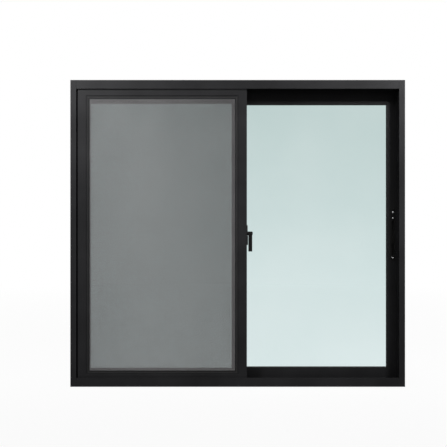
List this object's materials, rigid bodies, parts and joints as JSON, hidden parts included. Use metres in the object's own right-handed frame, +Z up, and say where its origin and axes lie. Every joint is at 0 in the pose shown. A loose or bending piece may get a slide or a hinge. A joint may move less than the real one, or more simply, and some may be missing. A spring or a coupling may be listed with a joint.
{
  "type": "horizontal sliding window",
  "caption": "Black aluminium horizontal sliding window with glass sashes, an insect screen, a cam lock on the meeting stile and a long flush lock.",
  "frame": {"origin": "middle of the sill's underside", "axes": "+Z up, +X to the right seen from the room, -Y towards the room"},
  "size_m": [1.2, 0.1, 1.1],
  "materials": {
    "black_aluminium": "satin",
    "glass": "clear",
    "rubber": "matte",
    "insect_mesh": "matte",
    "nylon": "matte",
    "zinc_steel": "satin",
    "lock_metal": "satin"
  },
  "bodies": {
    "outer_frame": {"frame_head": "black_aluminium", "frame_left_jamb": "black_aluminium", "frame_right_jamb": "black_aluminium", "frame_sill": "black_aluminium", "jamb_stops": "rubber"},
    "left_sash": {"cam_lock_base": "lock_metal", "left_sash_bottom_rail": "black_aluminium", "left_sash_gaskets": "rubber", "left_sash_glass": "glass", "left_sash_interlock": "black_aluminium", "left_sash_left_stile": "black_aluminium", "left_sash_lift_blocks": "nylon", "left_sash_right_stile": "black_aluminium", "left_sash_roller_carriages": "zinc_steel", "left_sash_roller_wheels": "nylon", "left_sash_setting_blocks": "rubber", "left_sash_top_rail": "black_aluminium"},
    "right_sash": {"cam_lock_keeper": "lock_metal", "flush_lock_case": "lock_metal", "flush_lock_thumb_slide": "lock_metal", "right_sash_bottom_rail": "black_aluminium", "right_sash_gaskets": "rubber", "right_sash_glass": "glass", "right_sash_interlock": "black_aluminium", "right_sash_left_stile": "black_aluminium", "right_sash_lift_blocks": "nylon", "right_sash_right_stile": "black_aluminium", "right_sash_roller_carriages": "zinc_steel", "right_sash_roller_wheels": "nylon", "right_sash_setting_blocks": "rubber", "right_sash_top_rail": "black_aluminium"},
    "insect_screen": {"screen_bottom_rail": "black_aluminium", "screen_left_stile": "black_aluminium", "screen_lift_blocks": "nylon", "screen_mesh": "insect_mesh", "screen_right_stile": "black_aluminium", "screen_roller_carriages": "zinc_steel", "screen_roller_wheels": "nylon", "screen_spline": "rubber", "screen_top_rail": "black_aluminium"},
    "lock_lever": {"cam_lock_lever": "lock_metal"}
  },
  "joints": [
    {"name": "left_sash_slide", "type": "slide", "parent": "outer_frame", "child": "left_sash", "axis": [1, 0, 0], "range_m": [0, 0.538]},
    {"name": "right_sash_slide", "type": "slide", "parent": "outer_frame", "child": "right_sash", "axis": [-1, 0, 0], "range_m": [0, 0.57]},
    {"name": "screen_slide", "type": "slide", "parent": "outer_frame", "child": "insect_screen", "axis": [1, 0, 0], "range_m": [-0.014, 0.556]},
    {"name": "lock_lever_turn", "type": "hinge", "parent": "left_sash", "child": "lock_lever", "pos_m": [0.039, 0, 0.55], "axis": [-1, 0, 0], "range_deg": [0, 180]}
  ]
}
